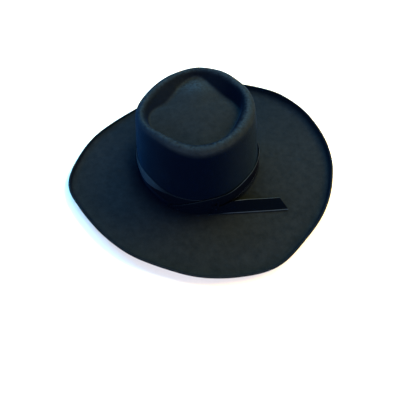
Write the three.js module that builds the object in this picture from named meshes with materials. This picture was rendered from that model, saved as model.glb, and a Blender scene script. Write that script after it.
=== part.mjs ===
// Wide-brimmed felt hat with a telescoped diamond crown, a turned-up brim edge and a ribbon band,
// resting on its brim. Millimetres, +Z up. The front of the hat is -X and the wearer's left is -Y.
// z = 0 is the underside of the brim's flat part. The pieces are built round the middle of the head
// opening, and the finished hat is moved so that the origin is the middle of its outline.
import * as THREE from "three";

const { clamp, degToRad, lerp } = THREE.MathUtils;

// Cloth
const FELT = 2.5; // thickness of the felt
const RIBBON = 1.0; // thickness of the ribbon
const GAP = 0.3; // clearance between neighbouring pieces

// Crown
const FLOOR_TOP = 118; // height of the middle of the recess floor
const ROLL_START = 150; // degrees from outwards, where the recess wall runs into the rim
const ROLL_END = 10; // degrees from outwards, where the rim runs into the crown's side
const SIDE_SWELL = 2; // how far the crown's side stands out past a straight line
const BREAK_RADIUS = 3; // hollow curve where the crown turns into the brim
const SIDE_FOOT = FELT + BREAK_RADIUS; // height at which the side meets that curve

// Brim
const FLAT_START = 5; // from the hollow curve to where the underside is truly flat
const FLAT_REACH = 130; // out to this radius the brim lies flat
const CURL_WIDTH = 12; // plan width of the turned-up edge

// Ribbon
const RIBBON_WIDTH = 23;
const RIBBON_FOOT = SIDE_FOOT; // neither turn reaches lower than this
const WRAP_START = 240; // degrees, where the second turn starts
const WRAP_STEP = 12; // degrees from row to row of its table
const TAIL_FOOT = 3; // height of the tail's outer edge

// How finely the surfaces are divided
const AZIMUTHS = 60;
const FLOOR_STEPS = 4;
const WALL_STEPS = 3;
const ROLL_STEPS = 5;
const SIDE_STEPS = 4;
const BREAK_STEPS = 3;
const BRIM_STEPS = 4;
const CURL_STEPS = 5;

// The crown at every 22.5 degrees from the back, +X, round by the wearer's right, +Y. crease is where
// the recess floor meets its wall, rim is the crest of the soft rim and roll the radius it is rounded
// to, and base is the felt's outside just above the brim.
const CROWN = [
  { crease: 58, creaseZ: 112, rim: 70, rimZ: 128, roll: 10, base: 97 },
  { crease: 53, creaseZ: 111, rim: 73, rimZ: 128, roll: 8, base: 95 },
  { crease: 49, creaseZ: 111, rim: 74, rimZ: 128, roll: 7, base: 93 },
  { crease: 55, creaseZ: 113, rim: 77, rimZ: 128, roll: 6, base: 93 },
  { crease: 71, creaseZ: 117, rim: 79, rimZ: 127, roll: 5, base: 93 },
  { crease: 62, creaseZ: 114, rim: 74, rimZ: 127, roll: 7, base: 92 },
  { crease: 50, creaseZ: 112, rim: 72, rimZ: 126, roll: 8, base: 92 },
  { crease: 50, creaseZ: 111, rim: 75, rimZ: 122, roll: 9, base: 95 },
  { crease: 66, creaseZ: 112, rim: 80, rimZ: 119, roll: 8, base: 97 },
  { crease: 69, creaseZ: 112, rim: 77, rimZ: 122, roll: 5, base: 95 },
  { crease: 62, creaseZ: 111, rim: 71, rimZ: 126, roll: 5, base: 93 },
  { crease: 62, creaseZ: 113, rim: 72, rimZ: 127, roll: 7, base: 95 },
  { crease: 67, creaseZ: 116, rim: 75, rimZ: 127, roll: 8, base: 96 },
  { crease: 64, creaseZ: 114, rim: 73, rimZ: 128, roll: 8, base: 95 },
  { crease: 57, creaseZ: 112, rim: 69, rimZ: 128, roll: 9, base: 93 },
  { crease: 55, creaseZ: 112, rim: 68, rimZ: 128, roll: 11, base: 95 },
];

// The brim at every 15 degrees from +X towards +Y. reach is the plan radius of the outermost edge,
// lift is how far the brim has risen where its turned-up edge starts, and curl is the height of
// that edge.
const BRIM = [
  { reach: 217, lift: 3, curl: 11 },
  { reach: 215, lift: 4, curl: 12 },
  { reach: 213, lift: 5, curl: 12 },
  { reach: 206.5, lift: 5, curl: 12 },
  { reach: 194, lift: 5, curl: 11 },
  { reach: 186, lift: 4, curl: 10 },
  { reach: 177, lift: 3, curl: 9 },
  { reach: 169, lift: 2, curl: 8 },
  { reach: 164, lift: 1, curl: 6 },
  { reach: 165, lift: 0, curl: 5 },
  { reach: 172, lift: 0, curl: 6 },
  { reach: 185, lift: 1, curl: 7 },
  { reach: 197, lift: 2, curl: 8 },
  { reach: 209, lift: 3, curl: 9 },
  { reach: 200, lift: 4, curl: 9 },
  { reach: 196, lift: 4, curl: 9 },
  { reach: 196, lift: 4, curl: 9 },
  { reach: 196.5, lift: 3, curl: 9 },
  { reach: 203, lift: 2, curl: 8 },
  { reach: 210, lift: 1, curl: 8 },
  { reach: 217.5, lift: 0, curl: 8 },
  { reach: 213, lift: 0, curl: 9 },
  { reach: 214, lift: 1, curl: 10 },
  { reach: 215, lift: 2, curl: 11 },
];

// The first turn of ribbon at every 30 degrees from +X towards +Y: height of its upper edge.
const BAND = [
  { top: 29 },
  { top: 29 },
  { top: 30 },
  { top: 31 },
  { top: 32 },
  { top: 34 },
  { top: 36 },
  { top: 37.5 },
  { top: 33.5 },
  { top: 34 },
  { top: 31 },
  { top: 29 },
];

// The second turn, from where it comes up across the first one at the wearer's left to its end at
// the back: heights of its lower and upper edges, and how far it stands off the first turn.
const WRAP = [
  { low: 5.5, top: 7, off: 0 },
  { low: 5.5, top: 17, off: 0.5 },
  { low: 5.5, top: 29, off: 1 },
  { low: 5.5, top: 36, off: 1 },
  { low: 6, top: 37, off: 1 },
  { low: 10, top: 36, off: 1 },
  { low: 13, top: 36, off: 0.5 },
  { low: 14, top: 37, off: 0 },
  { low: 14, top: 37, off: 0 },
  { low: 13, top: 36, off: 0 },
  { low: 12, top: 35, off: 0.5 },
  { low: 11, top: 34, off: 1 },
];

// The free ribbon tail, from the crown to its slanted end: plan places of the edge that lies
// further out and of the one nearer the crown, and the height of the nearer one.
const TAIL = [
  { outX: 16, outY: -100.5, inX: 28, inY: -97, inZ: 15 },
  { outX: 39, outY: -99.5, inX: 50, inY: -88, inZ: 20 },
  { outX: 63, outY: -98.5, inX: 71, inY: -80.5, inZ: 14 },
  { outX: 87, outY: -97, inX: 89, inY: -77, inZ: 10 },
  { outX: 112, outY: -95.5, inX: 107, inY: -74, inZ: 6.5 },
  { outX: 137, outY: -93.5, inX: 125, inY: -72, inZ: 5.5 },
];

const felt = new THREE.MeshStandardMaterial({ name: "felt", color: 0x1a1f23, roughness: 0.95 });
const ribbon = new THREE.MeshStandardMaterial({ name: "ribbon", color: 0x0b0b14, roughness: 0.6 });

// Smooth curve from b to c.
function spline(a, b, c, d, t) {
  return b + (t * (c - a + t * (2 * a - 5 * b + 4 * c - d + t * (3 * (b - c) + d - a)))) / 2;
}

// Value of one column of a table whose rows lie evenly round the hat, smooth through every row.
function around(table, column, azimuth) {
  const step = (azimuth / (2 * Math.PI)) * table.length;
  const row = Math.floor(step);
  const near = [-1, 0, 1, 2].map((k) => table[(row + k + 2 * table.length) % table.length]);
  return spline(...near.map((values) => values[column]), step - row);
}

// The same for a table whose rows go from one end to the other, step rows from the first one.
function along(table, column, step) {
  const row = Math.floor(step);
  const near = [-1, 0, 1, 2].map((k) => table[clamp(row + k, 0, table.length - 1)]);
  return spline(...near.map((values) => values[column]), step - row);
}

// Point of the soft rim's arc, as [radius, height].
function rimPoint(azimuth, degrees) {
  const angle = degToRad(degrees);
  const roll = around(CROWN, "roll", azimuth);
  return [
    around(CROWN, "rim", azimuth) + roll * Math.cos(angle),
    around(CROWN, "rimZ", azimuth) + roll * (Math.sin(angle) - 1),
  ];
}

// Radius of the crown's outside at a height, between the soft rim and the hollow curve.
function sideRadius(azimuth, z) {
  const [shoulder, shoulderZ] = rimPoint(azimuth, ROLL_END);
  const t = (shoulderZ - z) / (shoulderZ - SIDE_FOOT);
  return lerp(shoulder, around(CROWN, "base", azimuth), t) + SIDE_SWELL * Math.sin(Math.PI * t);
}

// Recess floor and wall, rim and side, as [radius, height] pairs from the middle outwards.
function crownLine(azimuth) {
  const crease = around(CROWN, "crease", azimuth);
  const creaseZ = around(CROWN, "creaseZ", azimuth);
  const points = [];
  for (let i = 1; i <= FLOOR_STEPS; i++) {
    const k = i / FLOOR_STEPS;
    points.push([crease * k, lerp(FLOOR_TOP, creaseZ, k * k)]);
  }
  const [wallTop, wallTopZ] = rimPoint(azimuth, ROLL_START);
  for (let i = 1; i < WALL_STEPS; i++) {
    const t = i / WALL_STEPS;
    points.push([lerp(crease, wallTop, t), lerp(creaseZ, wallTopZ, t)]);
  }
  for (let i = 0; i <= ROLL_STEPS; i++) {
    points.push(rimPoint(azimuth, lerp(ROLL_START, ROLL_END, i / ROLL_STEPS)));
  }
  const shoulderZ = points[points.length - 1][1];
  for (let i = 1; i <= SIDE_STEPS; i++) {
    const z = lerp(shoulderZ, SIDE_FOOT, i / SIDE_STEPS);
    points.push([sideRadius(azimuth, z), z]);
  }
  return points;
}

// Hollow curve, flat part, rise and turned-up edge of the brim's upper face.
function brimLine(azimuth) {
  const base = around(CROWN, "base", azimuth);
  const lift = around(BRIM, "lift", azimuth);
  const curl = around(BRIM, "curl", azimuth);
  const curlFoot = around(BRIM, "reach", azimuth) - FELT - CURL_WIDTH;
  const points = [];
  for (let i = 1; i <= BREAK_STEPS; i++) {
    const angle = ((i / BREAK_STEPS) * Math.PI) / 2;
    points.push([
      base + BREAK_RADIUS * (1 - Math.cos(angle)),
      FELT + BREAK_RADIUS * (1 - Math.sin(angle)),
    ]);
  }
  points.push([base + BREAK_RADIUS + FLAT_START, FELT]);
  for (let i = 0; i <= BRIM_STEPS; i++) {
    const t = i / BRIM_STEPS;
    points.push([lerp(FLAT_REACH, curlFoot, t), FELT + lift * t * t]);
  }
  for (let i = 1; i <= CURL_STEPS; i++) {
    const angle = ((i / CURL_STEPS) * Math.PI) / 2;
    points.push([
      curlFoot + CURL_WIDTH * Math.sin(angle),
      FELT + lift + curl * (1 - Math.cos(angle)),
    ]);
  }
  return points;
}

// A line of the upper face moved inwards and down by the felt's thickness, square to itself, and
// never below the plane that the hat rests on.
function underside(points) {
  const last = points.length - 1;
  return points.map(([r, z], i) => {
    const [r0, z0] = i === 0 ? [0, z] : points[i - 1];
    const [r1, z1] = points[Math.min(i + 1, last)];
    const [dr, dz] = i === last ? [0, 1] : [r1 - r0, z1 - z0];
    const length = Math.hypot(dr, dz);
    return [r + (FELT * dz) / length, Math.max(0, z - (FELT * dr) / length)];
  });
}

function piece(name, material, positions, faces) {
  const geometry = new THREE.BufferGeometry();
  geometry.setAttribute("position", new THREE.Float32BufferAttribute(positions.flat(), 3));
  geometry.setIndex(faces.flat());
  geometry.computeVertexNormals();
  const mesh = new THREE.Mesh(geometry, material);
  mesh.name = name;
  return mesh;
}

const polar = (azimuth, r, z) => [r * Math.cos(azimuth), r * Math.sin(azimuth), z];

// Crown and brim: one felt shell, its upper face joined to its underside at the brim's raw edge.
function feltBody() {
  const positions = [[0, 0, FLOOR_TOP]];
  let rows = 0;
  for (let j = 0; j < AZIMUTHS; j++) {
    const azimuth = degToRad((j * 360) / AZIMUTHS);
    const upper = [...crownLine(azimuth), ...brimLine(azimuth)];
    const line = [...upper, ...underside(upper).reverse()];
    rows = line.length;
    positions.push(...line.map(([r, z]) => polar(azimuth, r, z)));
  }
  const last = positions.push([0, 0, FLOOR_TOP - FELT]) - 1;
  const at = (j, i) => 1 + (j % AZIMUTHS) * rows + i;
  const faces = [];
  for (let j = 0; j < AZIMUTHS; j++) {
    faces.push([0, at(j, 0), at(j + 1, 0)]);
    faces.push([last, at(j + 1, rows - 1), at(j, rows - 1)]);
    for (let i = 0; i < rows - 1; i++) {
      faces.push([at(j, i), at(j, i + 1), at(j + 1, i + 1)]);
      faces.push([at(j, i), at(j + 1, i + 1), at(j + 1, i)]);
    }
  }
  return piece("felt_body", felt, positions, faces);
}

// A ribbon from sections that all have the same number of corners, a ring or with two flat ends.
function strip(name, sections, isRing) {
  const corners = sections[0].length;
  const count = sections.length;
  const at = (j, i) => (j % count) * corners + (i % corners);
  const faces = [];
  for (let j = 0; j < (isRing ? count : count - 1); j++) {
    for (let i = 0; i < corners; i++) {
      faces.push([at(j, i), at(j, i + 1), at(j + 1, i + 1)]);
      faces.push([at(j, i), at(j + 1, i + 1), at(j + 1, i)]);
    }
  }
  for (let i = 1; i < corners - 1 && !isRing; i++) {
    faces.push([at(0, 0), at(0, i + 1), at(0, i)]);
    faces.push([at(count - 1, 0), at(count - 1, i), at(count - 1, i + 1)]);
  }
  return piece(name, ribbon, sections.flat(), faces);
}

// Upright section of a ribbon round the crown, from low to high, that clears the felt by gap.
function upright(azimuth, low, high, gap) {
  const foot = sideRadius(azimuth, low) + gap;
  const top = sideRadius(azimuth, high) + gap;
  return [
    polar(azimuth, foot, low),
    polar(azimuth, top, high),
    polar(azimuth, top + RIBBON, high),
    polar(azimuth, foot + RIBBON, low),
  ];
}

function ribbonBand() {
  const sections = [];
  for (let j = 0; j < AZIMUTHS; j++) {
    const azimuth = degToRad((j * 360) / AZIMUTHS);
    const high = around(BAND, "top", azimuth);
    const low = Math.max(RIBBON_FOOT, high - RIBBON_WIDTH);
    sections.push(upright(azimuth, low, high, GAP));
  }
  return strip("ribbon_band", sections, true);
}

function ribbonWrap() {
  const sections = [];
  const step = 360 / AZIMUTHS;
  for (let turned = 0; turned <= (WRAP.length - 1) * WRAP_STEP; turned += step) {
    const row = turned / WRAP_STEP;
    const low = Math.max(RIBBON_FOOT, along(WRAP, "low", row));
    const gap = 2 * GAP + RIBBON + Math.max(0, along(WRAP, "off", row));
    const azimuth = degToRad(WRAP_START + turned);
    sections.push(upright(azimuth, low, along(WRAP, "top", row), gap));
  }
  return strip("ribbon_wrap", sections, false);
}

function ribbonTail() {
  const lengthwise = new THREE.Vector3(1, 0, 0);
  const sections = TAIL.map(({ outX, outY, inX, inY, inZ }) => {
    const outer = new THREE.Vector3(outX, outY, TAIL_FOOT);
    const inner = new THREE.Vector3(inX, inY, inZ);
    const up = lengthwise.clone().cross(inner.clone().sub(outer)).setLength(RIBBON);
    const corners = [outer, inner, inner.clone().add(up), outer.clone().add(up)];
    return corners.map((corner) => corner.toArray());
  });
  return strip("ribbon_tail", sections, false);
}

const pieces = new THREE.Group();
pieces.add(feltBody(), ribbonBand(), ribbonWrap(), ribbonTail());

const outline = new THREE.Box3().setFromObject(pieces);
const middle = outline.getCenter(new THREE.Vector3());
pieces.position.set(-middle.x, -middle.y, 0);

const hat = new THREE.Group();
hat.add(pieces);

export default hat;
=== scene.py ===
import math

import bpy
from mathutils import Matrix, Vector, noise


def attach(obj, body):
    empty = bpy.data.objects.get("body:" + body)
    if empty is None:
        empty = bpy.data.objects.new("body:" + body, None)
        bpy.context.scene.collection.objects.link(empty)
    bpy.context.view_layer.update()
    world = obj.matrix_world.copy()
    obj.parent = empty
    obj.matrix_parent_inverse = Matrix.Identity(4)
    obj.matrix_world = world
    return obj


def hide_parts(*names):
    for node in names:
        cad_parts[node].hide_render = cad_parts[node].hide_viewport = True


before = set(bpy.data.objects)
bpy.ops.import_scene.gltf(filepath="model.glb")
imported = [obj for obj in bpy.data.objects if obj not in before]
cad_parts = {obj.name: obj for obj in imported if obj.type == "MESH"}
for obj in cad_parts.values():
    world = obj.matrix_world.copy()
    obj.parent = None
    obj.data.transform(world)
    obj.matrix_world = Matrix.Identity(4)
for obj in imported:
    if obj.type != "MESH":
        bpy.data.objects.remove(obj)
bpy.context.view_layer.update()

# Wide-brimmed wool felt hat with a telescoped diamond crown and a ribbon band whose loose tail lies
# on the brim. The front of the hat is -X and the wearer's left is -Y. Sizes are in millimetres, as
# on the block and the ribbon roll, and point() turns them into metres in the model's frame.
MM = 0.001
HEAD = (-6.8, 12.2)  # middle of the head opening

# Cloth
FELT = 2.5
RIBBON = 0.8
RIBBON_WIDTH = 23
SELVAGE = 1.2  # bare satin edge of the velvet
GAP = 0.3

# Crown and brim
FLOOR_TOP = 118  # height of the middle of the recess floor
ROLL_START = 150  # degrees from outwards, where the recess wall runs into the rim
ROLL_END = 10  # degrees from outwards, where the rim runs into the crown's side
SIDE_SWELL = 2  # how far the crown's side stands out past a straight line
BREAK_RADIUS = 3  # hollow curve where the crown turns into the brim
SIDE_FOOT = FELT + BREAK_RADIUS
FIRST_FLAT = 8  # from the hollow curve to the next ring of the brim
FLAT_REACH = 130  # the brim lies flat this far from the middle of the head opening
CURL_WIDTH = 12  # plan width of the turned-up edge

# Slight unevenness of the blocked felt
UNEVENNESS = 0.9
DENTS_PER_METRE = 28
UNEVENNESS_SEED = 21  # the same unevenness every time

# Ribbon, with its places round the crown in degrees
RIBBON_RADIUS = 97  # at which the lengths of the two turns are measured
RIBBON_FOOT = SIDE_FOOT
SHADED_EDGE = 0.2  # share of the width drawn with no bright selvage where an edge lies in shade: painted shade
FOOT_SHADE_START = 140  # where the first turn's lower selvage starts to be left dark, as painted shade at the crown's foot
FOOT_SHADE_END = 320
# Where the band bulges out under its crescent of painted highlight
CRESCENT_START = 160
CRESCENT_END = 250
# Where the satin edges are painted dark, as shade
SATIN_SHADE_START = 210
SATIN_SHADE_END = 316
SECOND_TURN = 1.6  # from the felt to the second turn
WRAP_START = 240
CROSSING_END = 305
WRAP_END = 372
TAIL_LENGTH = 118
TAIL_FOOT = 3  # height of the tail's outer edge

# The crown at every 22.5 degrees from the back round by the wearer's right: foot of the recess wall
# and its height, crest of the soft rim, its height and the radius it is rounded to, and foot of the
# crown's side.
CROWN = [
    dict(zip(("crease", "crease_z", "rim", "rim_z", "roll", "base"), row))
    for row in [
        (58, 112, 70, 128, 10, 97),
        (53, 111, 73, 128, 8, 95),
        (49, 111, 74, 128, 7, 93),
        (55, 113, 77, 128, 6, 93),
        (71, 117, 79, 127, 5, 93),
        (62, 114, 74, 127, 7, 92),
        (50, 112, 72, 126, 8, 92),
        (50, 111, 75, 122, 9, 95),
        (66, 112, 80, 119, 8, 97),
        (69, 112, 77, 122, 5, 95),
        (62, 111, 71, 126, 5, 93),
        (62, 113, 72, 127, 7, 95),
        (67, 116, 75, 127, 8, 96),
        (64, 114, 73, 128, 8, 95),
        (57, 112, 69, 128, 9, 93),
        (55, 112, 68, 128, 11, 95),
    ]
]

# The brim at every 15 degrees, the same way round: plan radius of its outermost edge, how far it
# has risen where the turned-up edge starts, and the height of that edge.
BRIM = [
    {"reach": reach, "lift": lift, "curl": curl}
    for reach, lift, curl in [
        (217, 3, 11), (215, 4, 12), (213, 5, 12), (206.5, 5, 12),
        (194, 5, 11), (186, 4, 10), (177, 3, 9), (169, 2, 8),
        (164, 1, 6), (165, 0, 5), (172, 0, 6), (185, 1, 7),
        (197, 2, 8), (209, 3, 9), (200, 4, 9), (196, 4, 9),
        (196, 4, 9), (196.5, 3, 9), (203, 2, 8), (210, 1, 8),
        (217.5, 0, 8), (213, 0, 9), (214, 1, 10), (215, 2, 11),
    ]
]

# The first turn of ribbon at every 30 degrees, the same way round: height of its upper edge.
BAND = [{"top": top} for top in (29, 29, 30, 31, 32, 34, 36, 37.5, 33.5, 34, 31, 29)]

# The second turn at every 12 degrees, from where it comes up across the first one at the wearer's
# left to its end at the back: heights of its edges, and how far it stands off the first turn.
WRAP = [
    {"low": low, "top": top, "off": off}
    for low, top, off in [
        (5.5, 7, 0), (5.5, 17, 0.5), (5.5, 29, 1), (5.5, 36, 1), (6, 37, 1), (10, 36, 1),
        (13, 36, 0.5), (14, 37, 0), (14, 37, 0), (13, 36, 0), (12, 35, 0.5), (11, 34, 1),
    ]
]

# The loose tail from the crown to its slanted end: plan places of its outer and inner edges, from
# the middle of the head opening, and the height of the inner one.
TAIL = [
    dict(zip(("out_x", "out_y", "in_x", "in_y", "in_z"), row))
    for row in [
        (16, -100.5, 28, -97, 15),
        (39, -99.5, 50, -88, 20),
        (63, -98.5, 71, -80.5, 14),
        (87, -97, 89, -77, 10),
        (112, -95.5, 107, -74, 6.5),
        (137, -93.5, 125, -72, 5.5),
    ]
]


def mix(a, b, t):
    return a + (b - a) * t


def smooth(t):
    t = min(1.0, max(0.0, t))
    return t * t * (3 - 2 * t)


def spline(a, b, c, d, t):
    """Catmull-Rom curve from b to c."""
    bend = t * (2 * a - 5 * b + 4 * c - d + t * (3 * (b - c) + d - a))
    return b + t * (c - a + bend) / 2


def around(table, column, azimuth):
    """A column of a table whose rows lie evenly round the hat."""
    step = (azimuth % 360) / 360 * len(table)
    row = int(step)
    near = [table[(row + k) % len(table)][column] for k in (-1, 0, 1, 2)]
    return spline(*near, step - row)


def along(table, column, t):
    """A column of a table whose rows go from one end, t = 0, to the other, t = 1."""
    step = min(t, 0.9999) * (len(table) - 1)
    row = int(step)
    last = len(table) - 1
    near = [table[min(max(row + k, 0), last)][column] for k in (-1, 0, 1, 2)]
    return spline(*near, step - row)


def point(azimuth, r, z):
    """A place round the head opening, in metres."""
    a = math.radians(azimuth)
    return Vector((HEAD[0] + r * math.cos(a), HEAD[1] + r * math.sin(a), z)) * MM


def rim_point(azimuth, degrees):
    a = math.radians(degrees)
    roll = around(CROWN, "roll", azimuth)
    r = around(CROWN, "rim", azimuth) + roll * math.cos(a)
    return r, around(CROWN, "rim_z", azimuth) + roll * (math.sin(a) - 1)


def side_radius(azimuth, z):
    """Outside radius of the crown's side at a height."""
    shoulder, shoulder_z = rim_point(azimuth, ROLL_END)
    t = (shoulder_z - z) / (shoulder_z - SIDE_FOOT)
    swell = SIDE_SWELL * math.sin(math.pi * t)
    return mix(shoulder, around(CROWN, "base", azimuth), t) + swell


# Rings of the blocked felt, from the middle of the recess to the raw edge of the brim
FLOOR_RINGS = 7
WALL_RINGS = 6
ROLL_RINGS = 8
SIDE_RINGS = 9
BREAK_RINGS = 4
BRIM_RINGS = 12
CURL_RINGS = 7
FELT_AROUND = 96


def felt_line(azimuth):
    """Upper face of crown and brim, as (radius, height) from the middle outwards."""
    crease = around(CROWN, "crease", azimuth)
    crease_z = around(CROWN, "crease_z", azimuth)
    line = []
    for i in range(1, FLOOR_RINGS + 1):
        k = i / FLOOR_RINGS
        line.append((crease * k, mix(FLOOR_TOP, crease_z, k * k)))
    wall_top, wall_top_z = rim_point(azimuth, ROLL_START)
    for i in range(1, WALL_RINGS):
        t = i / WALL_RINGS
        line.append((mix(crease, wall_top, t), mix(crease_z, wall_top_z, t)))
    for i in range(ROLL_RINGS + 1):
        line.append(rim_point(azimuth, mix(ROLL_START, ROLL_END, i / ROLL_RINGS)))
    shoulder_z = line[-1][1]
    for i in range(1, SIDE_RINGS + 1):
        z = mix(shoulder_z, SIDE_FOOT, i / SIDE_RINGS)
        line.append((side_radius(azimuth, z), z))
    base = around(CROWN, "base", azimuth)
    for i in range(1, BREAK_RINGS + 1):
        a = i / BREAK_RINGS * math.pi / 2
        rise = BREAK_RADIUS * (1 - math.sin(a))
        line.append((base + BREAK_RADIUS * (1 - math.cos(a)), FELT + rise))
    lift = around(BRIM, "lift", azimuth)
    curl = around(BRIM, "curl", azimuth)
    curl_foot = around(BRIM, "reach", azimuth) - FELT - CURL_WIDTH
    line.append((base + BREAK_RADIUS + FIRST_FLAT, FELT))
    for i in range(BRIM_RINGS + 1):
        t = i / BRIM_RINGS
        line.append((mix(FLAT_REACH, curl_foot, t), FELT + lift * t * t))
    for i in range(1, CURL_RINGS + 1):
        a = i / CURL_RINGS * math.pi / 2
        rise = curl * (1 - math.cos(a))
        line.append((curl_foot + CURL_WIDTH * math.sin(a), FELT + lift + rise))
    return line


def finish_piece(piece, node, material):
    """Gives a finished piece its material and its body, and hides the solid that it stands for."""
    bpy.ops.object.mode_set(mode="OBJECT")
    bpy.ops.object.shade_smooth_by_angle(angle=math.radians(50))
    piece.data.materials.clear()
    piece.data.materials.append(material)
    bpy.ops.object.select_all(action="DESELECT")
    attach(piece, "root")
    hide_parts(node)


def apply_modifier(piece, kind, **settings):
    modifier = piece.modifiers.new(kind.title(), kind)
    for name, value in settings.items():
        setattr(modifier, name, value)
    bpy.ops.object.modifier_apply(modifier=modifier.name)


def block_felt(material):
    """The felt body: a round of felt drawn ring by ring over the crown and out to the raw edge."""
    step = 360 / FELT_AROUND
    lines = [felt_line(j * step) for j in range(FELT_AROUND)]
    bpy.ops.object.select_all(action="DESELECT")
    bpy.ops.mesh.primitive_circle_add(
        vertices=FELT_AROUND, radius=lines[0][0][0] * MM, fill_type="TRIFAN"
    )
    piece = bpy.context.object
    piece.name = "felt_hat_body"
    mesh = piece.data
    middle = min(mesh.vertices, key=lambda v: v.co.length).index
    turn = [math.degrees(math.atan2(v.co.y, v.co.x)) / step for v in mesh.vertices]
    spoke = {v.index: round(turn[v.index]) % FELT_AROUND for v in mesh.vertices}
    for v in mesh.vertices:
        v.co = point(spoke[v.index] * step, *lines[spoke[v.index]][0])
    mesh.vertices[middle].co = point(0, 0, FLOOR_TOP)
    bpy.ops.object.mode_set(mode="EDIT")
    bpy.ops.mesh.select_mode(type="EDGE")
    bpy.ops.mesh.select_all(action="DESELECT")
    bpy.ops.mesh.select_non_manifold()
    for ring in range(1, len(lines[0])):
        bpy.ops.mesh.extrude_edges_move()
        bpy.ops.object.mode_set(mode="OBJECT")
        for v in mesh.vertices:
            if v.select:
                x, y = v.co.x / MM - HEAD[0], v.co.y / MM - HEAD[1]
                j = round(math.degrees(math.atan2(y, x)) / step) % FELT_AROUND
                v.co = point(j * step, *lines[j][ring])
        bpy.ops.object.mode_set(mode="EDIT")
    bpy.ops.object.mode_set(mode="OBJECT")
    apply_modifier(
        piece, "SOLIDIFY", thickness=FELT * MM, offset=-1, use_even_offset=True,
        edge_crease_inner=0.9, edge_crease_outer=0.9,
    )
    apply_modifier(piece, "SUBSURF", levels=1, render_levels=1)
    noise.seed_set(UNEVENNESS_SEED)
    for v in mesh.vertices:
        lift = smooth((v.co.z / MM - 5) / 20)
        v.co += noise.noise_vector(v.co * DENTS_PER_METRE) * UNEVENNESS * MM * lift
        v.co.z = max(v.co.z, 0)
    paint_light_and_shade(mesh)
    finish_piece(piece, "felt_body", material)


# Places of the painted light and shade on the felt, in degrees round the hat
LIT_WALL = 130  # the painted shade on the walls of the recess is lightest here, where light falls
LIT_SIDE = 345  # the painted shade on the crown's side is lightest here, where light falls
SHADOW_AWAY = 35  # the crown's painted shadow on the brim beside its foot is least here and most across the hat
# painted blue light on the front of the crown's side and on the brim at the wearer's right
BLUE_LIGHT_CROWN = 185
BLUE_LIGHT_BRIM = 100
BRIGHTEST_RIM = 20  # the painted highlight along the rim is brightest here, where light falls
RECESS_CORNER = (-6, 54)  # painted highlight in the far corner of the recess, in plan from the middle of the head opening


def facing(azimuth, direction):
    """1 where an azimuth is the direction, down to -1 on the other side of the hat."""
    return math.cos(math.radians(azimuth - direction))


def bell(distance, spread):
    return math.exp(-(distance / spread) ** 2)


def paint_light_and_shade(mesh):
    """Records painted light and shade on the felt: red for painted shade on the crown's side, the
    walls of the recess and the steep curled edge of the brim, and for the crown's painted shadow on
    the brim beside its foot; green for a painted highlight along the crown's rim and in the far
    corner of the recess; and blue for painted blue light at the front of the crown and a little on
    the wearer's right of the brim."""
    painted_light = mesh.color_attributes.new(name="painted_light", type="FLOAT_COLOR", domain="POINT")
    for v in mesh.vertices:
        x, y, z = v.co.x / MM - HEAD[0], v.co.y / MM - HEAD[1], v.co.z / MM
        azimuth = math.degrees(math.atan2(y, x))
        r = math.hypot(x, y)
        rim, crease = around(CROWN, "rim", azimuth), around(CROWN, "crease", azimuth)
        base = around(CROWN, "base", azimuth)
        below = around(CROWN, "rim_z", azimuth) - z
        blue_light = 0
        if r < rim:
            up_wall = (r - crease) / (rim - crease)
            # painted shade on the walls of the recess, lightest on the lit wall
            shade_amount = smooth(up_wall / 0.2) * (1 - smooth((up_wall - 0.7) / 0.3))
            shade_amount *= 1 - 0.3 * max(0, facing(azimuth, LIT_WALL))
        elif r < base + BREAK_RADIUS:
            # painted shade on the crown's side below the rim, lightest on the side where light
            # falls
            shade_amount = smooth((below - 3) / 9)
            shade_amount *= 1 - 0.35 * max(0, facing(azimuth, LIT_SIDE)) ** 4
            # painted blue light on the front of the crown's side
            blue_light = bell(azimuth % 360 - BLUE_LIGHT_CROWN, 28) * smooth((z - 15) / 30)
        else:
            # the crown's painted shadow on the brim beside its foot, falling away from the lights
            crown_shadow = 0.5 - 0.5 * facing(azimuth, SHADOW_AWAY)
            crown_shadow *= 0.95 * bell(r - base, 24)
            # painted shade on the steep faces of the curled edge, or the crown's painted shadow
            # where that is darker
            shade_amount = max(crown_shadow, 0.8 * (1 - smooth((abs(v.normal.z) - 0.45) / 0.45)))
            # painted blue light on the brim at the wearer's right
            blue_light = 0.45 * max(0, facing(azimuth, BLUE_LIGHT_BRIM)) * smooth((r - base) / 20)
        # painted highlight along the crown's rim, brightest on the side where light falls, and in
        # the far corner of the recess
        crest = bell(r - rim, 5) * bell(below, 4)
        crest *= 0.85 + 0.15 * facing(azimuth, BRIGHTEST_RIM)
        corner = bell(x - RECESS_CORNER[0], 22) * bell(y - RECESS_CORNER[1], 15)
        corner *= 1.2 * (1 - shade_amount)
        painted_light.data[v.index].color = (shade_amount, min(1, max(crest, corner)), blue_light, 1)


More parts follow.
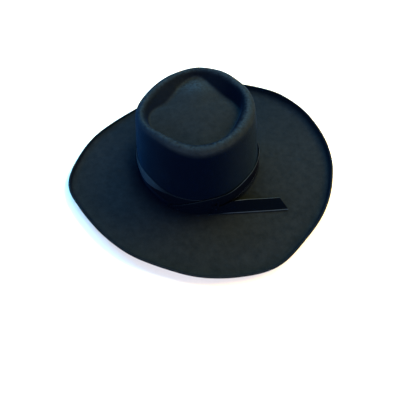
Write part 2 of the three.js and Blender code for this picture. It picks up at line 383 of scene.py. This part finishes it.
def cut_ribbon(name, rows, across, shape, closed=False):
    """A length of ribbon laid in its place. shape(s, w) gives the place of a point s of the way
    along and w of the way across, its distances in mm along the ribbon and across it, and how far
    its satin edge is painted dark there, as shade."""
    bpy.ops.object.select_all(action="DESELECT")
    bpy.ops.mesh.primitive_grid_add(
        x_subdivisions=rows, y_subdivisions=across, size=1, calc_uvs=True
    )
    piece = bpy.context.object
    piece.name = name
    mesh = piece.data
    laid = [shape(v.co.x + 0.5, v.co.y + 0.5) for v in mesh.vertices]
    satin_shade = mesh.color_attributes.new(name="satin_shade", type="FLOAT_COLOR", domain="POINT")
    for v in mesh.vertices:
        satin_shade.data[v.index].color = (laid[v.index][2],) * 3 + (1,)
    weave = mesh.uv_layers.active
    weave.name = "weave"
    for loop in mesh.loops:
        weave.data[loop.index].uv = [x * MM for x in laid[loop.vertex_index][1]]
    for v in mesh.vertices:
        v.co = laid[v.index][0]
    if closed:
        bpy.ops.object.mode_set(mode="EDIT")
        bpy.ops.mesh.select_all(action="SELECT")
        bpy.ops.mesh.remove_doubles(threshold=0.02 * MM)
        bpy.ops.object.mode_set(mode="OBJECT")
    return piece


def thicken(piece):
    """Gives the ribbon its thickness and rounds it."""
    apply_modifier(piece, "SOLIDIFY", thickness=RIBBON * MM, offset=1, use_even_offset=True)
    apply_modifier(piece, "SUBSURF", levels=1, render_levels=1)


def satin_shading(azimuth):
    """How far the satin edges are painted dark, as shade: most at the wearer's left."""
    return smooth((azimuth - SATIN_SHADE_START) / 32) * smooth((SATIN_SHADE_END - azimuth) / 24)


def first_turn(material):
    """The band right round the crown. At the front left it bulges out a little and a narrow
    crescent of its satin colour is painted across its upper part: a painted highlight. Its lower
    selvage is left dark as painted shade at the crown's foot."""
    girth = 2 * math.pi * RIBBON_RADIUS

    def shape(s, w):
        azimuth = 360 * s
        top = around(BAND, "top", azimuth)
        z = mix(max(RIBBON_FOOT, top - RIBBON_WIDTH), top, w)
        crescent_share = 0.95 * smooth((azimuth - CRESCENT_START) / 30) * smooth((CRESCENT_END - azimuth) / 46)
        bulge = crescent_share * math.sin(math.pi * w)
        place = point(azimuth, side_radius(azimuth, z) + GAP + bulge, z)
        # painted shade: the lower selvage is left dark at the crown's foot
        foot_shade = smooth((azimuth - FOOT_SHADE_START) / 20) * smooth((FOOT_SHADE_END - azimuth) / 20)
        across = RIBBON_WIDTH * mix(w, max(w, SHADED_EDGE), foot_shade * (1 - crescent_share))
        # painted highlight: the upper part of the crescent takes the bright satin colour
        across += (RIBBON_WIDTH - SELVAGE) * crescent_share
        return place, (girth * s, across), satin_shading(azimuth)

    piece = cut_ribbon("ribbon_first_turn", 180, 12, shape, closed=True)
    thicken(piece)
    finish_piece(piece, "ribbon_band", material)


def second_turn(material):
    """The turn that comes up across the first one on a slant at the wearer's left and goes on
    round the rear. Where it crosses, it is creased and its foot spreads onto the brim, and its
    lower selvage is left dark there as painted shade."""
    length = math.radians(WRAP_END - WRAP_START) * RIBBON_RADIUS

    def shape(s, w):
        azimuth = mix(WRAP_START, WRAP_END, s)
        low = max(RIBBON_FOOT, along(WRAP, "low", s))
        top = along(WRAP, "top", s)
        z = mix(low, top, w)
        crossing = smooth((CROSSING_END - azimuth) / 20)
        spread = crossing * smooth((azimuth - WRAP_START) / 15) * (1 - smooth(w / 0.4))
        creases = 0.4 * crossing * math.sin(math.pi * (6 * w - 5 * s)) * math.sin(math.pi * w)
        stand = SECOND_TURN + max(0, along(WRAP, "off", s)) + 2 * spread + creases
        place = point(azimuth, side_radius(azimuth, z) + stand, z - 1.5 * spread)
        # painted shade: the lower selvage is left dark at the crossing
        across = RIBBON_WIDTH * mix(w, max(w, SHADED_EDGE), crossing)
        return place, (length * s, across), satin_shading(azimuth)

    piece = cut_ribbon("ribbon_second_turn", 110, 12, shape)
    thicken(piece)
    finish_piece(piece, "ribbon_wrap", material)


def loose_tail(material):
    """The loose tail, pleated where it leaves the crown and cut on a slant. Painted shade at the
    root darkens its satin edges and leaves its upper selvage dark.
    """

    def shape(s, w):
        x = mix(along(TAIL, "out_x", s), along(TAIL, "in_x", s), w)
        y = mix(along(TAIL, "out_y", s), along(TAIL, "in_y", s), w)
        z = mix(TAIL_FOOT, along(TAIL, "in_z", s), w)
        gathered = 1 - smooth(s / 0.35)
        pleats = 2.2 * gathered * math.sin(math.pi * (7 * w - 6 * s))
        lifted_edge = 1.2 * (1 - gathered) * (1 - smooth(w / 0.25))
        z += (0.8 + pleats) * math.sin(math.pi * w) + lifted_edge
        place = Vector((HEAD[0] + x, HEAD[1] + y, z)) * MM
        # painted shade at the pleated root: the upper selvage is left dark and the satin edges
        # darkened
        across = RIBBON_WIDTH * mix(w, min(w, 1 - SHADED_EDGE), gathered)
        return place, (TAIL_LENGTH * s, across), 1 - smooth((s - 0.12) / 0.15)

    piece = cut_ribbon("ribbon_tail_end", 80, 16, shape)
    thicken(piece)
    finish_piece(piece, "ribbon_tail", material)


def linear(colour):
    """sRGB hex to linear RGBA."""
    parts = [int(colour[i:i + 2], 16) / 255 for i in (1, 3, 5)]
    return [c / 12.92 if c <= 0.04045 else ((c + 0.055) / 1.055) ** 2.4 for c in parts] + [1]


def add_node(material, kind, feeds=(), values=(), **settings):
    """Adds a node. feeds are (input, node, output) and values are (input, value)."""
    node = material.node_tree.nodes.new(kind)
    for name, value in settings.items():
        setattr(node, name, value)
    for socket, value in values:
        node.inputs[socket].default_value = value
    for socket, source, output in feeds:
        material.node_tree.links.new(source.outputs[output], node.inputs[socket])
    return node


def new_material(name):
    material = bpy.data.materials.new(name)
    material.use_nodes = True
    material.node_tree.nodes.clear()
    return material


def set_ramp(ramp, stops):
    elements = ramp.color_ramp.elements
    for element, (place, colour) in zip(elements, stops):
        element.position = place
        element.color = linear(colour)


# Sizes of the patterns. Single fibres, tufts, the velvet's pile and the paper's grain are too fine
# to show, so they are drawn this coarse.
FELT_PATCH = 9
FELT_FIBRE = 2
FELT_TUFT = 4
VELVET_PILE = 1.5
PAPER_GRAIN = 4


def wool_felt():
    """Fulled wool felt, dyed blue-black, with no weave. Short tangled fibres break up the light and
    brushing leaves faint patches. Painted shade darkens its steep faces and the brim beside the
    crown's foot, painted blue light tints the front of the crown and the far brim, and a painted
    highlight is laid pale along the rim and in the far corner of the recess."""
    felt = new_material("fulled wool felt")
    place = add_node(felt, "ShaderNodeTexCoord")
    patches = add_node(
        felt, "ShaderNodeTexNoise", [("Vector", place, "Object")],
        [("Scale", 1 / (FELT_PATCH * MM)), ("Detail", 5), ("Roughness", 0.7)],
    )
    fibres = add_node(
        felt, "ShaderNodeTexNoise", [("Vector", place, "Object")],
        [
            ("Scale", 1 / (FELT_FIBRE * MM)), ("Detail", 3), ("Roughness", 0.7),
            ("Distortion", 1.5),
        ],
    )
    mottling = add_node(
        felt, "ShaderNodeMix", [("A", patches, "Fac"), ("B", fibres, "Fac")], [("Factor", 0.4)]
    )
    brushed = add_node(felt, "ShaderNodeValToRGB", [("Fac", mottling, "Result")])
    set_ramp(brushed, [(0.35, "#0b1116"), (0.65, "#151b20")])
    # painted light and shade recorded on the felt: red is painted shade, green a painted highlight,
    # blue painted blue light
    painted_light = add_node(felt, "ShaderNodeAttribute", attribute_name="painted_light")
    painted_parts = add_node(felt, "ShaderNodeSeparateColor", [("Color", painted_light, "Color")])
    tufts = add_node(
        felt, "ShaderNodeTexNoise", [("Vector", place, "Object")],
        [("Scale", 1 / (FELT_TUFT * MM)), ("Detail", 2), ("Roughness", 0.6)],
    )
    tufted = add_node(
        felt, "ShaderNodeMapRange", [("Value", tufts, "Fac")],
        [("From Min", 0.3), ("From Max", 0.7), ("To Min", 0.1), ("To Max", 1.25)],
    )
    # painted highlight along the rim and in the recess's far corner, broken up by tufts; its pale
    # colour is mixed in below
    highlight_amount = add_node(
        felt, "ShaderNodeMath", [(0, painted_parts, "Green"), (1, tufted, "Result")],
        operation="MULTIPLY", use_clamp=True,
    )
    # painted shade: near-black blue where the red mark is high
    shaded_colour = add_node(
        felt, "ShaderNodeMix", [("Factor", painted_parts, "Red"), ("A", brushed, "Color")],
        [("B", linear("#00020a"))], data_type="RGBA",
    )
    # painted blue light: blue where the blue mark is high
    blue_lit_colour = add_node(
        felt, "ShaderNodeMix", [("Factor", painted_parts, "Blue"), ("A", shaded_colour, "Result")],
        [("B", linear("#000e1e"))], data_type="RGBA",
    )
    colour = add_node(
        felt, "ShaderNodeMix", [("Factor", highlight_amount, "Value"), ("A", blue_lit_colour, "Result")],
        [("B", linear("#18242e"))], data_type="RGBA",
    )
    relief = add_node(
        felt, "ShaderNodeBump", [("Height", fibres, "Fac")],
        [("Strength", 0.6), ("Distance", 0.45 * MM)],
    )
    surface = add_node(
        felt, "ShaderNodeBsdfPrincipled",
        [("Base Color", colour, "Result"), ("Normal", relief, "Normal")],
        [
            ("Roughness", 0.95), ("IOR", 1.45), ("Specular IOR Level", 0.01),
            ("Sheen Weight", 0.04), ("Sheen Roughness", 0.4),
            ("Sheen Tint", linear("#5a9ae0")),
        ],
    )
    add_node(felt, "ShaderNodeOutputMaterial", [("Surface", surface, "BSDF")])
    return felt


def velvet_ribbon():
    """Black velvet ribbon: its short upright pile swallows the light, so the face is the darkest
    thing on the hat, and the bare satin edges catch a thin bright line, painted dark as shade on
    the wearer's left and at the tail's root. Past the full width on the weave map the satin colour
    is a
    little bluer: the painted highlight of the crescent at the front left."""
    ribbon = new_material("black velvet ribbon")
    weave = add_node(ribbon, "ShaderNodeUVMap", uv_map="weave")
    parts = add_node(ribbon, "ShaderNodeSeparateXYZ", [("Vector", weave, "UV")])
    from_middle = add_node(
        ribbon, "ShaderNodeMath", [(0, parts, "Y")], [(1, RIBBON_WIDTH / 2 * MM)],
        operation="SUBTRACT",
    )
    out = add_node(ribbon, "ShaderNodeMath", [(0, from_middle, "Value")], operation="ABSOLUTE")
    edge = add_node(
        ribbon, "ShaderNodeMapRange", [("Value", out, "Value")],
        [
            ("From Min", (RIBBON_WIDTH / 2 - SELVAGE - 0.2) * MM),
            ("From Max", (RIBBON_WIDTH / 2 - SELVAGE + 0.2) * MM),
        ],
    )
    pile = add_node(
        ribbon, "ShaderNodeTexNoise", [("Vector", weave, "UV")],
        [("Scale", 1 / (VELVET_PILE * MM)), ("Detail", 3), ("Roughness", 0.6)],
    )
    crescent_highlight = add_node(
        ribbon, "ShaderNodeMapRange", [("Value", out, "Value")],
        [
            ("From Min", (RIBBON_WIDTH / 2 + 0.2) * MM),
            ("From Max", (RIBBON_WIDTH / 2 + 0.6) * MM),
        ],
    )
    # painted highlight: past the full width the satin colour turns a little bluer, for the crescent
    bright = add_node(
        ribbon, "ShaderNodeMix", [("Factor", crescent_highlight, "Result")],
        [("A", linear("#1e2833")), ("B", linear("#16232e"))], data_type="RGBA",
    )
    satin_shade = add_node(ribbon, "ShaderNodeAttribute", attribute_name="satin_shade")
    # painted shade: the satin edge colour is darkened on the wearer's left and at the tail's root
    satin = add_node(
        ribbon, "ShaderNodeMix", [("Factor", satin_shade, "Fac"), ("A", bright, "Result")],
        [("B", linear("#060c13"))], data_type="RGBA",
    )
    colour = add_node(
        ribbon, "ShaderNodeMix", [("Factor", edge, "Result"), ("B", satin, "Result")],
        [("A", linear("#000208"))], data_type="RGBA",
    )
    gloss = add_node(
        ribbon, "ShaderNodeMapRange", [("Value", edge, "Result")],
        [("To Min", 0.95), ("To Max", 0.3)],
    )
    relief = add_node(
        ribbon, "ShaderNodeBump", [("Height", pile, "Fac")],
        [("Strength", 0.5), ("Distance", 0.3 * MM)],
    )
    surface = add_node(
        ribbon, "ShaderNodeBsdfPrincipled",
        [
            ("Base Color", colour, "Result"), ("Roughness", gloss, "Result"),
            ("Normal", relief, "Normal"),
        ],
        [
            ("IOR", 1.4), ("Specular IOR Level", 0.02), ("Sheen Weight", 0.01),
            ("Sheen Roughness", 0.3), ("Sheen Tint", linear("#7f86d8")),
        ],
    )
    add_node(ribbon, "ShaderNodeOutputMaterial", [("Surface", surface, "BSDF")])
    return ribbon


def white_paper():
    """Matt white background paper, with hardly any grain."""
    paper = new_material("white studio paper")
    place = add_node(paper, "ShaderNodeTexCoord")
    grain = add_node(
        paper, "ShaderNodeTexNoise", [("Vector", place, "Object")],
        [("Scale", 1 / (PAPER_GRAIN * MM))],
    )
    colour = add_node(paper, "ShaderNodeValToRGB", [("Fac", grain, "Fac")])
    set_ramp(colour, [(0.0, "#e3e3e2"), (1.0, "#e7e7e6")])
    surface = add_node(
        paper, "ShaderNodeBsdfPrincipled", [("Base Color", colour, "Color")], [("Roughness", 0.9)]
    )
    add_node(paper, "ShaderNodeOutputMaterial", [("Surface", surface, "BSDF")])
    return paper


# The floor and the lights, in metres
SWEEP_RADIUS = 3
SWEEP_CURVE = 1
SWEEP_WALL = 2
SWEEP_STEP = 9  # degrees
FLOOR_CLEARANCE = 0.4 * MM
LIGHT_DISTANCE = 1.7
LIGHT_SIZE = 0.9


def lay_sweep(material):
    """The floor: a round of paper that curves up into a wall at its edge."""
    bpy.ops.object.select_all(action="DESELECT")
    bpy.ops.mesh.primitive_circle_add(
        vertices=64, radius=SWEEP_RADIUS, fill_type="NGON", location=(0, 0, -FLOOR_CLEARANCE)
    )
    sweep = bpy.context.object
    sweep.name = "studio_floor"
    bpy.ops.object.mode_set(mode="EDIT")
    bpy.ops.mesh.select_mode(type="EDGE")
    for angle in range(SWEEP_STEP, 91, SWEEP_STEP):
        was, now = math.radians(angle - SWEEP_STEP), math.radians(angle)
        bpy.ops.mesh.extrude_edges_move()
        rise = SWEEP_CURVE * (math.cos(was) - math.cos(now))
        bpy.ops.transform.translate(value=(0, 0, rise))
        reached = SWEEP_RADIUS + SWEEP_CURVE * math.sin(was)
        widen = (SWEEP_RADIUS + SWEEP_CURVE * math.sin(now)) / reached
        bpy.ops.transform.resize(value=(widen, widen, 1))
    bpy.ops.mesh.extrude_edges_move(TRANSFORM_OT_translate={"value": (0, 0, SWEEP_WALL)})
    bpy.ops.object.mode_set(mode="OBJECT")
    bpy.ops.object.shade_smooth_by_angle(angle=math.radians(50))
    sweep.data.materials.append(material)


def soft_box(name, azimuth, height, power, colour):
    """A square soft light that faces the hat. Its azimuth and height are in degrees."""
    a, up = math.radians(azimuth), math.radians(height)
    place = Vector((math.cos(a) * math.cos(up), math.sin(a) * math.cos(up), math.sin(up)))
    place *= LIGHT_DISTANCE
    bpy.ops.object.light_add(
        type="AREA", location=place, rotation=place.to_track_quat("Z", "Y").to_euler()
    )
    lamp = bpy.context.object
    lamp.name = name
    lamp.data.size = LIGHT_SIZE
    lamp.data.energy = power
    lamp.data.color = linear(colour)[:3]


# Camera at the wearer's left, above the hat
CAMERA_DISTANCE = 620
CAMERA_ELEVATION = math.radians(52)
CAMERA_TILT = math.radians(32.31)  # from straight down
CAMERA_TURN = math.radians(-0.31)
bpy.ops.object.camera_add(
    location=(
        HEAD[0] * MM,
        (HEAD[1] - CAMERA_DISTANCE * math.cos(CAMERA_ELEVATION)) * MM,
        CAMERA_DISTANCE * math.sin(CAMERA_ELEVATION) * MM,
    ),
    rotation=(CAMERA_TILT, 0, CAMERA_TURN),
)
camera = bpy.context.object
camera.name = "photo_camera"
camera.data.lens = 33.45
camera.data.sensor_width = 36
camera.data.shift_x = 0.0015
bpy.context.scene.camera = camera

# Floor and light
lay_sweep(white_paper())
for name, azimuth, height, power, colour in [
    ("key_back", 20, 45, 49, "#ffd060"),
    ("key_back_right", 45, 45, 38, "#ffe8a8"),
    ("window_right", 90, 45, 42, "#84d6ff"),
    ("window_front", 135, 42, 35, "#48c8ff"),
    ("fill_front", 190, 12, 10, "#50c0ff"),
    ("fill_left", 235, 15, 32, "#b0d2ff"),
    ("fill_back_left", 300, 30, 40, "#ffe9e0"),
]:
    soft_box(name, azimuth, height, power, colour)
world = bpy.data.worlds.new("studio")
world.use_nodes = True
backdrop = world.node_tree.nodes["Background"]
backdrop.inputs["Color"].default_value = linear("#eef2f5")
backdrop.inputs["Strength"].default_value = 0.02
bpy.context.scene.world = world
bpy.context.scene.view_settings.view_transform = "Standard"

# The hat
block_felt(wool_felt())
ribbon_cloth = velvet_ribbon()
first_turn(ribbon_cloth)
second_turn(ribbon_cloth)
loose_tail(ribbon_cloth)
